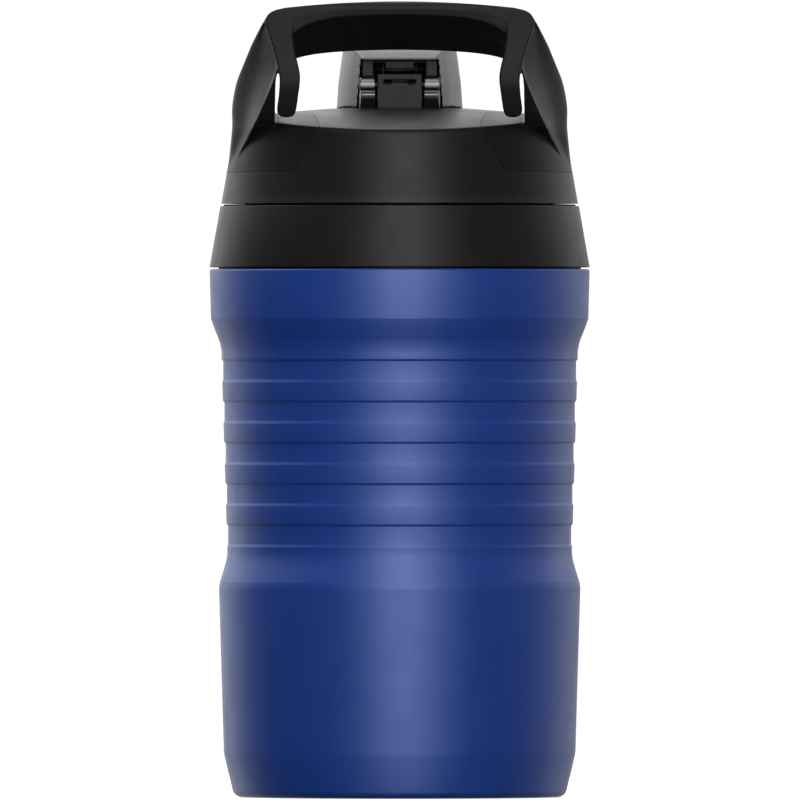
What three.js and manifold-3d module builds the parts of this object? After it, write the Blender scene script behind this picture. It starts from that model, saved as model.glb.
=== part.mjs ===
// A foam-insulated sports jug with a screw lid, a carry handle with two fence hooks and a flip cap.
// Units are millimetres, +Z is up, and the origin is the middle of the base. The hooks and the
// flip cap's hinge are at the back (-Y), the spout and the latch button are at the front (+Y).

import * as THREE from 'three';
import { mergeVertices } from 'three/addons/utils/BufferGeometryUtils.js';
import Module from 'manifold-3d';

const wasm = await Module();
wasm.setup();

// ---- driving dimensions -------------------------------------------------------------------------
const GAP = 0.35; // between neighbouring pieces
const WALL = 2.4; // moulded wall
const ROUND = 36; // facets of a large round piece
const SMALL_ROUND = 20; // facets of a small round piece

const SHELL_TOP_Z = 202.7;
const SHELL_TOP_R = 73.0;
const GRIP_TOP_Z = 168.3; // where the waist begins under the upper band
const RIB_PITCH = 15.8;
const RIB_COUNT = 5;
const RIB_STEP = 0.33;
const RIB_TOP_R = 68.4;
const RIB_TAPER = 0.47; // loss of radius from one rib to the next one down
const FOOT_EDGE_Z = 80.2;
const FOOT_EDGE_R = 69.4;
const BASE_R = 60.8; // flat of the base
const BASE_FILLET = 3.5;
const BASE_RECESS = 1.6;

const COLLAR_BOTTOM_Z = 203.4;
const COLLAR_TOP_Z = 227.2;
const COLLAR_SLOPE = 0.176;
const SPIGOT_R = 69.6;

const LID_BOTTOM_Z = 227.9;
const LID_BOTTOM_R = 68.53;
const LID_SLOPE = 0.176;
const DOME_TOP_Z = 265.2;
const DOME_X = 1.185e-3; // dome drop per mm^2 across
const DOME_Y = 2.41e-3; // dome drop per mm^2 front to back

const NECK_R = 57.9;
const BORE_R = 54.6;
const NECK_TOP_Z = 243;
const THREAD_LEAD = 7;
const THREAD_DEPTH = 2;
const THREAD_TURNS = 1.25;
const THREAD_START_Z = 229.9;
const SKIRT_R = 60.4; // inside of the lid's threaded skirt
const SKIRT_WALL = 1.2;
const PLATE_Z = 245.7; // underside of the inner lid
const PLATE_THICK = 2.2;

const HOOK_TIP_Z = 260.7;
const HOOK_BEND_Z = 276;
const HOOK_CURL = 0.02; // forward bend per mm^2 below that height
const HOOK_THICK = 5.6;
const RIM_Y = -60; // rear face of the handle
const HANDLE_TOP_Z = 304.8;
const ARM_INNER_X = 47.9;
const BAR_BOW = 0.00128; // the bar's downward bow per mm^2 across
const PAD_THICK = 1.6;
const PAD_FLOOR = 1.2; // wall of the lid under a saddle foot

const PIN = new THREE.Vector3(0, -11, 273.4);
const PIN_R = 1.25;
const PIN_HALF = 15.2;
const KNUCKLE_R = 3.3;
const KNUCKLE_OUTER = 15.4; // far end of a hinge knuckle
const ARM_OUTER = 14.55; // far side of the arm that carries it
const TOWER_HALF = 8.6;
const CAP_SKIN = 1.6;

const SPOUT_Y = 20;
const SPOUT_TOP_Z = 278.6;
const SPOUT_BORE = 6;

const TONGUE_Y = 45.2; // the cap's latch tongue
const BUTTON_Z = 250.8;
const BUTTON_HALF = 10;
const SPRING_DROP = 0.75; // button spring's axis below the button's middle

// ---- solids -------------------------------------------------------------------------------------
function solid(geometry) {
  const bare = geometry.clone();
  bare.deleteAttribute('normal');
  bare.deleteAttribute('uv');
  const merged = mergeVertices(bare, 1e-4);
  const vertProperties = new Float32Array(merged.attributes.position.array);
  const triVerts = new Uint32Array(merged.index.array);
  return new wasm.Manifold(new wasm.Mesh({ numProp: 3, vertProperties, triVerts }));
}

function geometryOf(body) {
  const mesh = body.getMesh();
  const geometry = new THREE.BufferGeometry();
  geometry.setAttribute('position', new THREE.BufferAttribute(mesh.vertProperties, 3));
  geometry.setIndex(new THREE.BufferAttribute(mesh.triVerts, 1));
  return geometry;
}

function moved(body, matrix) {
  const geometry = geometryOf(body);
  geometry.applyMatrix4(matrix);
  if (matrix.determinant() < 0) {
    geometry.setIndex([...geometry.index.array].reverse());
  }
  return solid(geometry);
}

function mirrored(body) {
  return moved(body, new THREE.Matrix4().makeScale(-1, 1, 1));
}

// A closed outline of [radius, z] points turned about +Z.
function turned(outline, facets = ROUND) {
  const points = outline.map(([r, z]) => new THREE.Vector2(r, z));
  if (outline[0][0] > 0) {
    points.push(points[0].clone());
  }
  const geometry = new THREE.LatheGeometry(points, facets);
  geometry.rotateX(Math.PI / 2);
  return solid(geometry);
}

function box(x0, x1, y0, y1, z0, z1) {
  const geometry = new THREE.BoxGeometry(x1 - x0, y1 - y0, z1 - z0);
  geometry.translate((x0 + x1) / 2, (y0 + y1) / 2, (z0 + z1) / 2);
  return solid(geometry);
}

// A cylinder between two heights of the named axis.
function rod(axis, radius, from, to, place = [0, 0, 0], facets = SMALL_ROUND) {
  const geometry = new THREE.CylinderGeometry(radius, radius, to - from, facets);
  geometry.translate(0, (from + to) / 2, 0);
  if (axis === 'x') {
    geometry.rotateZ(-Math.PI / 2);
  }
  if (axis === 'z') {
    geometry.rotateX(Math.PI / 2);
  }
  geometry.translate(...place);
  return solid(geometry);
}

function outlineShape(points) {
  return new THREE.Shape(points.map(([a, b]) => new THREE.Vector2(a, b)));
}

function extruded(points, depth) {
  return new THREE.ExtrudeGeometry(outlineShape(points), { depth, bevelEnabled: false });
}

// An outline of [x, z] points with depth along Y.
function alongY(points, y0, y1) {
  const geometry = extruded(points, y1 - y0);
  geometry.rotateX(Math.PI / 2);
  geometry.translate(0, y1, 0);
  return solid(geometry);
}

// An outline of [y, z] points with depth along X.
function alongX(points, x0, x1) {
  const geometry = extruded(points, x1 - x0);
  geometry.rotateX(Math.PI / 2);
  geometry.rotateZ(Math.PI / 2);
  geometry.translate(x0, 0, 0);
  return solid(geometry);
}

// An outline of [x, y] points with depth along Z.
function alongZ(points, z0, z1) {
  const geometry = extruded(points, z1 - z0);
  geometry.translate(0, 0, z0);
  return solid(geometry);
}

// A solid through a list of closed rings that all have the same number of points.
function loft(rings) {
  const count = rings[0].length;
  const positions = rings.flat(2);
  const index = [];
  for (let ring = 0; ring < rings.length - 1; ring += 1) {
    for (let i = 0; i < count; i += 1) {
      const a = ring * count + i;
      const b = ring * count + ((i + 1) % count);
      index.push(a, b, b + count, a, b + count, a + count);
    }
  }
  const last = (rings.length - 1) * count;
  const flat = (ring) => {
    const [origin, next] = [new THREE.Vector3(...ring[0]), new THREE.Vector3()];
    const normal = new THREE.Vector3();
    for (let i = 0; i < count; i += 1) {
      const here = new THREE.Vector3(...ring[i]).sub(origin);
      next.set(...ring[(i + 1) % count]).sub(origin);
      normal.add(here.cross(next));
    }
    const side = Math.abs(normal.x) < 0.9 * normal.length() ? new THREE.Vector3(1, 0, 0)
      : new THREE.Vector3(0, 1, 0);
    const u = side.cross(normal).normalize();
    const v = normal.clone().normalize().cross(u);
    return ring.map((p) => {
      const q = new THREE.Vector3(...p).sub(origin);
      return new THREE.Vector2(q.dot(u), q.dot(v));
    });
  };
  for (const [a, b, c] of THREE.ShapeUtils.triangulateShape(flat(rings[0]), [])) {
    index.push(a, c, b);
  }
  for (const [a, b, c] of THREE.ShapeUtils.triangulateShape(flat(rings.at(-1)), [])) {
    index.push(last + a, last + b, last + c);
  }
  const geometry = new THREE.BufferGeometry();
  geometry.setAttribute('position', new THREE.Float32BufferAttribute(positions, 3));
  geometry.setIndex(index);
  let body = solid(geometry);
  if (body.volume() < 0) {
    geometry.setIndex(index.toReversed());
    body = solid(geometry);
  }
  return body;
}

// A smooth function of one number through [input, output] pairs.
function through(pairs) {
  const knots = pairs.map(([a, b]) => new THREE.Vector3(a, b, 0));
  const curve = new THREE.CatmullRomCurve3(knots, false, 'centripetal');
  const samples = curve.getPoints(8 * pairs.length);
  return (input) => {
    const k = samples.findIndex((p) => p.x >= input);
    if (k < 0) {
      return samples.at(-1).y;
    }
    if (k === 0) {
      return samples[0].y;
    }
    const [a, b] = [samples[k - 1], samples[k]];
    return THREE.MathUtils.mapLinear(input, a.x, b.x, a.y, b.y);
  };
}

function steps(from, to, count) {
  return Array.from({ length: count + 1 }, (_, i) => from + ((to - from) * i) / count);
}

// A rounded corner: points on a quarter-like arc from angle a0 to a1 (degrees) about [x, y].
function arc(x, y, r, a0, a1, count = 4) {
  return steps(a0, a1, count).map((deg) => {
    const a = THREE.MathUtils.degToRad(deg);
    return [x + r * Math.cos(a), y + r * Math.sin(a)];
  });
}

// A helical ridge, from its root radius to its crest radius.
function ridge(root, crest, z0, halfBase, halfCrest) {
  const count = Math.round(THREAD_TURNS * ROUND);
  const rings = steps(0, THREAD_TURNS * 2 * Math.PI, count).map((a) => {
    const z = z0 + (THREAD_LEAD * a) / (2 * Math.PI);
    const at = (r, dz) => [r * Math.cos(a), r * Math.sin(a), z + dz];
    return [at(root, -halfBase), at(crest, -halfCrest), at(crest, halfCrest), at(root, halfBase)];
  });
  return loft(rings);
}

// A wire that follows a curve.
function wire(points, radius, stepsAlong) {
  const knots = points.map((p) => new THREE.Vector3(...p));
  const extrudePath = new THREE.CatmullRomCurve3(knots, false, 'centripetal');
  const section = outlineShape(arc(0, 0, radius, 0, 300, 5));
  const options = { steps: stepsAlong, extrudePath, bevelEnabled: false };
  return solid(new THREE.ExtrudeGeometry(section, options));
}

// ---- jug ----------------------------------------------------------------------------------------
function ribs() {
  // stepped ribs: each one starts flush, tapers, and ends in a small step down into the next ledge
  const points = [];
  for (let i = 0; i < RIB_COUNT; i += 1) {
    const step = GRIP_TOP_Z - 0.4 - i * RIB_PITCH;
    const r = RIB_TOP_R - RIB_TAPER * i;
    points.push([r, step + 0.15], [r - RIB_STEP, step - 0.15]);
    points.push([r - RIB_STEP - 0.2, step - 7.7], [r - 0.15, step - 8.5]);
  }
  return points.reverse();
}

function shellOutline() {
  return [
    ...arc(BASE_R, BASE_FILLET, BASE_FILLET, -90, -12, 3),
    [67.3, 15.9],
    [FOOT_EDGE_R - 1.85, 17.6],
    [FOOT_EDGE_R, FOOT_EDGE_Z],
    [69.1, 82.5],
    [67.2, 88.5],
    [66.4, 92],
    [66.2, 95],
    ...ribs(),
    [68.45, 170.1],
    [69.0, 174],
    [70.5, 178],
    [72.5, 183.6],
    [SHELL_TOP_R, 202.1],
    [SHELL_TOP_R - 0.6, SHELL_TOP_Z],
  ];
}

function outerShell() {
  const outer = shellOutline();
  const inner = [
    [70, SHELL_TOP_Z],
    [70, 186],
    [66.5, 176],
    [65.6, 168],
    [63.8, 95],
    [66.2, 82],
    [64.5, 16],
    [60, 5.2],
    [0, 5.2],
  ];
  const base = [[0, BASE_RECESS], [50, BASE_RECESS], [51.2, 0]];
  const shell = turned([...base, ...outer, ...inner]);
  return shell.subtract(rod('z', 5.2, -1, 6, [0, 32, 0]));
}

function innerLiner() {
  const flange = 66.2;
  const outline = [
    [0, 17],
    [48, 17],
    ...arc(49, 24, 7, -80, -10, 3),
    [57.2, 60],
    [57.2, 196],
    [flange, 222.4],
    [flange, 224.6],
    [NECK_R, 224.6],
    [NECK_R, NECK_TOP_Z - 0.6],
    [NECK_R - 0.6, NECK_TOP_Z],
    [BORE_R, NECK_TOP_Z],
    [BORE_R, 60],
    ...arc(46.6, 26.6, 7, -10, -80, 3),
    [0, 19.6],
  ];
  const thread = ridge(NECK_R - 0.8, NECK_R + THREAD_DEPTH, THREAD_START_Z, 1.5, 0.7);
  return turned(outline).add(thread);
}

function foam() {
  return turned([
    [0, 6],
    [59.5, 6],
    [63.8, 17],
    [65.2, 82],
    [62.9, 95],
    [64.6, 168],
    [66.2, 180],
    [66.6, 195],
    [66.6, 220.5],
    [57.8, 195.6],
    [57.8, 60],
    [57, 24],
    [54.8, 18.2],
    [49.5, 16.2],
    [0, 16.2],
  ], 24);
}

function collar() {
  const r = (z) => 72.98 - COLLAR_SLOPE * (z - 203.7);
  return turned([
    [SPIGOT_R - 2, 194],
    [SPIGOT_R, 194],
    [SPIGOT_R, COLLAR_BOTTOM_Z],
    [r(203.7) - 0.25, COLLAR_BOTTOM_Z],
    [r(203.9), 203.9],
    [r(225.7), 225.7],
    [r(226.6) - 0.25, 226.7],
    [r(227) - 0.9, COLLAR_TOP_Z],
    [NECK_R + THREAD_DEPTH + 0.4, COLLAR_TOP_Z],
    [NECK_R + THREAD_DEPTH + 0.4, 225],
    [67, 225],
    [67, 222],
    [SPIGOT_R - 2, 203],
  ]);
}

function foamPlug() {
  return rod('z', 4.8, BASE_RECESS + 0.3, 5.6, [0, 32, 0]);
}

// ---- lid ----------------------------------------------------------------------------------------
function domeZ(x, y) {
  return DOME_TOP_Z - DOME_X * x * x - DOME_Y * y * y;
}

// Everything above the dome, shifted along Z.
function aboveDome(shift) {
  const reach = 76;
  const lines = steps(-reach, reach, 14);
  const rings = lines.map((y) => {
    const low = lines.map((x) => [x, y, domeZ(x, y) + shift]);
    return [...low, [reach, y, 330], [-reach, y, 330]];
  });
  return loft(rings);
}

function coneR(z) {
  return LID_BOTTOM_R - LID_SLOPE * (z - LID_BOTTOM_Z);
}

// The lid's envelope, moved inward by a wall thickness, from its open bottom up to the dome.
function lidBody(inset, bottom = LID_BOTTOM_Z) {
  const [low, high] = [coneR(bottom) - inset, coneR(270) - inset];
  return turned([[0, bottom], [low, bottom], [high, 270], [0, 270]]).subtract(aboveDome(-inset));
}

// The region of the lid that the saddle feet cover, seen from behind, from the side and from above.
function footRegion(side, grow) {
  const g = grow;
  const back = alongY([
    [-29.6 + g, 275],
    [-30.2 + g, 257.5],
    [-38.3 + g, 243.9 - g],
    [-40.2 + g, 241.6 - g],
    [-42.4, 240.3 - g],
    [-44.8, 239.9 - g],
    [-80, 239.9 - g],
    [-80, 275],
  ], -80, 0);
  const front = alongX([
    [36 + g, 275],
    [32 + g, 257],
    [24.8 + g, 243.9 - g],
    [23.3 + g, 241.6 - g],
    [21, 240.3 - g],
    [18, 239.9 - g],
    [-1, 239.9 - g],
    [-1, 275],
  ], -80, 0);
  const plan = alongZ([
    [-28 + g, -80],
    [-30.6 + g, -55.4],
    [-31.9 + g, -38],
    [-33.3 + g, -26],
    [-36 + g, -16.5 + g],
    [-41 + g, -9.6 + g],
    [-46 + g, -7 + g],
    [-46 + g, 18],
    [-50 + g, 28],
    [-56 + g, 40],
    [-80, 50],
    [-80, -80],
  ], 230, 280);
  const left = back.add(front).intersect(plan);
  return side < 0 ? left : mirrored(left);
}

function bothFeet(grow) {
  return footRegion(-1, grow).add(footRegion(1, grow));
}

const lidOuter = lidBody(0);

function tower() {
  const [y, z] = [PIN.y, PIN.z];
  const block = alongX([
    [y - 3.9, 262],
    [y - 4.2, z + 3.6],
    [y - 3.6, z + 4.2],
    [y + 3.6, z + 4.2],
    [y + 4.2, z + 3.4],
    [y + 5.4, 262],
  ], -TOWER_HALF, TOWER_HALF);
  const hollow = box(-7.3, 7.3, y - 3, y + 3, z - 3.3, z + 5);
  const slot = box(-6.1, 6.1, y - 6, y, z + 0.1, z + 1.9);
  const bore = rod('x', PIN_R + GAP, -20, 20, [0, y, z]);
  return block.subtract(hollow).subtract(slot).subtract(bore);
}

function ear(side) {
  const y = PIN.y;
  const profile = [
    [y + 1.6, 262.5],
    [y + 1.6, 269.2],
    [y - 1.6, 269.6],
    [y - 4.2, 271.3],
    [y - 5.4, 271.1],
    [y - 6.5, 269.9],
    [y - 6.2, 268.4],
    [y - 3.2, 263],
  ];
  // the outer corner is cut back, clear of the open cap
  const plan = alongZ([[9.3, 0], [9.3, -20], [14.4, -20], [15.6, -13.2], [15.6, 0]], 260, 275);
  const right = alongX(profile, 9, 16).intersect(plan);
  return side > 0 ? right : mirrored(right);
}

function buttonWindow(grow) {
  const g = grow;
  return box(-BUTTON_HALF - g, BUTTON_HALF + g, 45, 75, BUTTON_Z - 2.6 - g, BUTTON_Z + 2.6 + g);
}

const SCREWS = [[-52, -20], [-52, -5], [52, -20], [52, -5]];

function lidShell() {
  let shell = lidOuter.subtract(lidBody(WALL, LID_BOTTOM_Z - 1));
  // a shallow recess takes each saddle foot, on a floor of the same wall
  const recess = bothFeet(GAP);
  const surround = bothFeet(GAP + 1.6);
  const hollow = lidBody(PAD_THICK + GAP + PAD_FLOOR, LID_BOTTOM_Z - 1);
  const floor = lidBody(PAD_THICK + GAP).subtract(hollow).intersect(surround);
  const rim = lidBody(1).subtract(hollow).intersect(surround.subtract(recess));
  shell = shell.subtract(recess).add(floor).add(rim);
  // hinge
  const crown = tower().add(ear(-1)).add(ear(1));
  shell = shell.add(crown.subtract(lidBody(WALL, LID_BOTTOM_Z - 1)));
  // spout hole, latch slot, button window, screw holes
  shell = shell.subtract(rod('z', 10.4, 250, 275, [0, SPOUT_Y, 0]));
  shell = shell.subtract(box(-5, 5, TONGUE_Y - 3.3, TONGUE_Y + 4.2, 250, 270));
  shell = shell.subtract(buttonWindow(GAP));
  for (const [x, y] of SCREWS) {
    shell = shell.subtract(rod('z', 1.7, 245, 275, [x, y, 0], 12));
  }
  return shell;
}

function lidInsert() {
  const outer = SKIRT_R + SKIRT_WALL;
  const top = PLATE_Z + PLATE_THICK;
  const skirt = turned([
    [SKIRT_R, 228.6],
    [outer, 228.6],
    [outer - 0.9, top - 1],
    [outer - 1.6, top],
    [0, top],
    [0, PLATE_Z],
    [SKIRT_R, PLATE_Z],
  ]);
  const start = THREAD_START_Z + THREAD_LEAD / 2;
  const thread = ridge(SKIRT_R + 0.6, SKIRT_R - THREAD_DEPTH, start, 1.5, 0.7);
  const trim = box(-80, 80, -80, 80, 228.6, PLATE_Z + 1);
  const seat = box(-3, 3, 53.4, 54.7, top - 1, BUTTON_Z + 0.8);
  const spoutHole = rod('z', 9.4, 240, 255, [0, SPOUT_Y, 0]);
  return skirt.add(thread.intersect(trim)).add(seat).subtract(spoutHole);
}

function lidGasket() {
  return turned([
    [BORE_R + 0.2, NECK_TOP_Z + GAP],
    [SKIRT_R - 0.6, NECK_TOP_Z + GAP],
    [SKIRT_R - 0.6, PLATE_Z - GAP],
    [BORE_R + 0.2, PLATE_Z - GAP],
  ]);
}

const toSpout = new THREE.Matrix4().makeTranslation(0, SPOUT_Y, 0);

function spout() {
  return moved(turned([
    [SPOUT_BORE, 243.5],
    [9, 243.5],
    [9, 260],
    [10, 261],
    [10, 266.4],
    [8.6, 268],
    [8.1, SPOUT_TOP_Z - 0.8],
    [7.4, SPOUT_TOP_Z],
    [SPOUT_BORE + 0.4, SPOUT_TOP_Z],
    [SPOUT_BORE, SPOUT_TOP_Z - 0.5],
  ], 32), toSpout);
}

function latchButton() {
  const bodyOut = lidBody(-0.5).subtract(lidBody(1.5, LID_BOTTOM_Z - 1));
  const face = bodyOut.intersect(buttonWindow(0));
  // the latch plate has a window for the cap's tongue, and its far bar holds the tongue's barb
  const plate = box(-7, 7, 38.5, 63, BUTTON_Z + 1.2, BUTTON_Z + 2.4);
  const tongueWindow = box(-4.7, 4.7, TONGUE_Y - 2.9, TONGUE_Y + 4, 250, 256);
  const stem = rod('y', 0.9, 59.2, 63.4, [0, 0, BUTTON_Z - SPRING_DROP], 12);
  return face.add(plate.subtract(tongueWindow)).add(stem);
}

function coil(radius, lead, turns, place, axis) {
  const points = steps(0, turns, Math.round(turns * 12)).map((t) => {
    const a = 2 * Math.PI * t;
    const [u, v] = [radius * Math.cos(a), radius * Math.sin(a)];
    const w = lead * t;
    const local = axis === 'x' ? [w, u, v] : [u, w, v];
    return local.map((value, i) => value + place[i]);
  });
  return points;
}

function buttonSpring() {
  const points = coil(1.6, 1.7, 4, [0, 55.3, BUTTON_Z - SPRING_DROP], 'y');
  return wire(points, 0.28, 44);
}

function screw([x, y]) {
  const head = rod('z', 2.7, 254.8, 256.8, [x, y, 0], 16);
  const shank = rod('z', 1.3, 256.6, 266, [x, y, 0], 12);
  return head.add(shank);
}

// ---- handle -------------------------------------------------------------------------------------
// heights against half-widths and depths of one arm, from the root in the wall up to the top corner
const crestX = through([[236, 66.2], [241, 65.9], [250, 64.9], [258, 64.2], [264, 64.3],
  [269, 63.7], [274, 62.6], [280, 60.6], [286, 58], [292, 55], [300, 50.6]]);
const crestY = through([[236, -4], [245, -9], [254, -16], [262, -20.5], [270, -23.5], [278, -28.5],
  [286, -38], [295, -53], [300, -57]]);
const nearX = through([[236, 65.6], [244.6, 62.5], [254, 57.8], [267.7, 51.9], [280.7, 48.3],
  [288, 49.4], [294.6, 51.4], [300, 50.4]]);
const nearY = through([[236, -10], [244.6, -19.6], [253, -32.1], [257.6, -42], [266, -49.5],
  [275, -55], [283, -58.5], [295, -60], [300, -60]]);
const frontY = through([[236, 26], [250, 20], [260, 12], [270, 0], [280, -14], [290, -26],
  [300, -34]]);

function armSection(z) {
  const [cx, cy, nx, ny, fy] = [crestX(z), crestY(z), nearX(z), nearY(z), frontY(z)];
  const { clamp } = THREE.MathUtils;
  const hollow = clamp((294 - z) / 30, 0, 1) * clamp((z - 244) / 12, 0, 1);
  const mid = [(nx + cx) / 2 - 0.9 * hollow, (ny + cy) / 2];
  const tangent = [(cx - nx) / 4, (cy - ny) / 4];
  const turn = (fy - cy) / 2;
  const right = [
    [nx - 3.2 * tangent[0], ny - 3.2 * tangent[1]],
    [nx, ny],
    mid,
    [cx - 0.5, cy - 1.6],
    [cx, cy + 1.2],
    [cx - 0.35, cy + turn * 0.8],
    [cx - 2.2, cy + turn * 1.5],
    [cx - 6, fy + 1],
    [cx - 9, fy + 12],
  ];
  const left = right.map(([x, y]) => [-x, y]).reverse();
  return [...right, ...left].map(([x, y]) => [x, y, z]);
}

function archSection(y, top, drop, power, half) {
  const points = [[half, 225]];
  for (const t of steps(0, 1, 8)) {
    const x = half * (1 - t ** 1.6);
    const bow = BAR_BOW * x * x;
    const z = top - bow - drop * (1 - (1 - (x / half) ** power) ** (1 / power));
    points.push([x, z]);
  }
  const mirrored = points.slice(0, -1).map(([x, z]) => [-x, z]).reverse();
  return [...points, ...mirrored].map(([x, z]) => [x, y, z]);
}

function handleBody() {
  const levels = [236, 241, 245, 249, 253, 257, 261, 265, 269, 274, 279, 284, 289, 294, 300, 306];
  const hull = loft(levels.map(armSection));
  const topZ = (x) => HANDLE_TOP_Z + 0.1 - BAR_BOW * x * x;
  const crown = steps(-44, 44, 22).map((x) => [x, topZ(x)]);
  const side = [[45.8, 302], [48.2, 301.3], [50.2, 300], [51.3, 298.5], [53.2, 295.3],
    [56.8, 288.4], [62, 276], [72, 262], [72, 230]];
  const roofOutline = [...crown, ...side, ...side.map(([x, z]) => [-x, z]).reverse()];
  const roof = alongY(roofOutline, -80, 80);
  const profile = [
    [-8, 234],
    ...steps(244, 288, 11).map((z) => [nearY(z), z]),
    [RIM_Y, 292],
    [RIM_Y, 302.6],
    [-59.3, 304],
    [-57.6, 304.9],
    [-54, 305.2],
    [-50, 304.4],
    [-44, 301.3],
    [-38, 296.9],
    [-33.6, 292.6],
    [-31.8, 289.6],
    [-31.9, 287.4],
    [-31.2, 285.4],
    [-26, 282],
    ...steps(274, 244, 5).map((z) => [frontY(z) + 0.5, z]),
    [27, 234],
  ];
  const body = hull.intersect(roof).intersect(alongX(profile, -80, 80));
  const opening = loft([
    archSection(-66, 303.8, 7, 5, 42.2),
    archSection(RIM_Y, 301.8, 7, 5, 42),
    archSection(-58.9, 299.7, 54, 5.2, ARM_INNER_X),
    archSection(-45, 292.8, 36, 5.6, ARM_INNER_X),
    archSection(-33, 286.6, 20, 6, ARM_INNER_X),
    archSection(70, 286, 20, 6, ARM_INNER_X),
  ]);
  return body.subtract(opening);
}

// One fence hook with the corner of the rim above it, right-hand side.
function hookBlade() {
  const outline = [
    [36, 303.2],
    [34, 299.6],
    [37.5, 298.9],
    [39.8, 298],
    [41.2, 296.2],
    [41, 293],
    [39.9, 285],
    [38.8, 280.6],
    [38.1, 276.5],
    [38.2, 273.4],
    [38.8, 269],
    [39.8, 262.8],
    [40.6, 261.3],
    [42, HOOK_TIP_Z],
    [44.6, HOOK_TIP_Z],
    [46.2, 261.4],
    [46.9, 263],
    [46.3, 268.5],
    [45.9, 274],
    [46.2, 277.6],
    [47.3, 282.6],
    [49, 288.6],
    [50.9, 294.6],
    [51.4, 297.4],
    [50.2, 300],
    [48.2, 301.3],
    [45.8, 302],
  ];
  // seen from the side, the blade curls forward towards its tip
  const curl = (z) => HOOK_CURL * Math.max(0, HOOK_BEND_Z - z) ** 2;
  const levels = [310, ...steps(HOOK_BEND_Z, HOOK_TIP_Z - 1, 6)];
  const back = levels.map((z) => [RIM_Y + curl(z), z]);
  const front = levels.map((z) => [RIM_Y + HOOK_THICK + curl(z), z]).reverse();
  const band = alongX([...back, ...front], 30, 60);
  return alongY(outline, RIM_Y - 1, RIM_Y + 12).intersect(band);
}

function handle() {
  const hooks = hookBlade().add(mirrored(hookBlade()));
  const feet = bothFeet(0);
  const above = handleBody().add(hooks).subtract(lidBody(0.6)).subtract(lidOuter.subtract(feet));
  const pads = lidOuter.subtract(lidBody(PAD_THICK, LID_BOTTOM_Z - 1)).intersect(feet);
  let body = above.add(pads);
  for (const [x, y] of SCREWS) {
    body = body.subtract(rod('z', 1.65, 250, 266.5, [x, y, 0], 12));
  }
  return body;
}

// ---- flip cap -----------------------------------------------------------------------------------
// half-widths of the cap along its length, at the level of the dome
const capPlan = [[15.6, -14], [17.6, -12.4], [20.6, -4], [23.4, 5], [24.4, 14], [23.8, 24],
  [21.4, 34], [17.2, 42.4], [11, 47.4], [4, 49]];
// the height of its roof along its length
const capRoof = [[-14.5, 283.3], [-9, 286], [-2, 288.3], [8, 289.6], [18, 289], [28, 286.4],
  [38, 281.4], [46, 275], [60, 262]];

function capHull(inset, low) {
  const rings = [[low, 1], [273.8, 0.968], [283, 0.92], [292, 0.86]].map(([z, scale]) => {
    const right = capPlan.map(([x, y]) => {
      const end = y > 40 ? inset : 0;
      const rear = y < -11 ? inset : 0;
      return [(x - inset) * scale, y - end * 0.9 + rear, z];
    });
    return [...right, ...right.map(([x, y]) => [-x, y, z]).reverse()];
  });
  const top = [[-40, 272], ...capRoof].map(([y, z]) => [y, z - inset]);
  return loft(rings).intersect(alongX([[-40, 240], ...top, [60, 240]], -40, 40));
}

// The cap's underside follows the dome; its rear corners stay inside the swing about the pin.
function capTrim(body) {
  const dome = aboveDome(0.5);
  const sweep = rod('x', 8.5, -40, 40, [0, PIN.y, PIN.z], 48);
  const rear = box(-40, 40, -30, PIN.y, 255, PIN.z);
  return body.intersect(dome).subtract(rear.subtract(sweep));
}

function hingeNotch(grow, top) {
  const g = grow;
  return alongY([
    [-17.2 - g, 258],
    [-14.9 - g, top],
    [14.9 + g, top],
    [17.2 + g, 258],
  ], -30, -4.5 + g);
}

function capCover() {
  const skin = capHull(0, 262).subtract(capHull(CAP_SKIN, 250));
  return capTrim(skin).subtract(hingeNotch(0, 283));
}

function capFrame() {
  const [y, z] = [PIN.y, PIN.z];
  const inset = CAP_SKIN + GAP;
  let frame = capHull(inset, 262).subtract(capHull(inset + 1.6, 250));
  frame = capTrim(frame).subtract(hingeNotch(GAP, 282.9));
  for (const side of [-1, 1]) {
    const [x0, x1] = side > 0 ? [9.9, ARM_OUTER] : [-ARM_OUTER, -9.9];
    const [k0, k1] = side > 0 ? [9.3, KNUCKLE_OUTER] : [-KNUCKLE_OUTER, -9.3];
    // the arm rises behind the knuckle and turns over into the frame's roof
    frame = frame.add(box(x0, x1, y + 0.2, y + 3.2, z, 282.9));
    frame = frame.add(box(x0, x1, y + 0.2, -2, 281.2, 282.95));
    frame = frame.add(rod('x', KNUCKLE_R, k0, k1, [0, y, z], 28));
  }
  frame = frame.add(box(-9.9, 9.9, y + 0.6, -2, 281.8, 282.95));
  const boss = rod('z', 7.4, SPOUT_TOP_Z + 2.35, 292, [0, SPOUT_Y, 0]);
  frame = frame.add(boss.intersect(capHull(inset, 262)));
  // latch tongue, down through the slot in the dome
  frame = frame.add(box(-4, 4, TONGUE_Y - 1, TONGUE_Y + 1, 250, 272.6));
  frame = frame.add(box(-4, 4, TONGUE_Y - 2.5, TONGUE_Y, 250, 251.6));
  return frame.subtract(rod('x', PIN_R + GAP, -20, 20, [0, y, z]));
}

function capSeal() {
  return moved(turned([
    [0, SPOUT_TOP_Z - 3],
    [3.2, SPOUT_TOP_Z - 3],
    [4.4, SPOUT_TOP_Z + 0.4],
    [9.4, SPOUT_TOP_Z + 0.4],
    [9.8, SPOUT_TOP_Z + 0.8],
    [9.8, SPOUT_TOP_Z + 2],
    [0, SPOUT_TOP_Z + 2],
  ], 32), toSpout);
}

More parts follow.
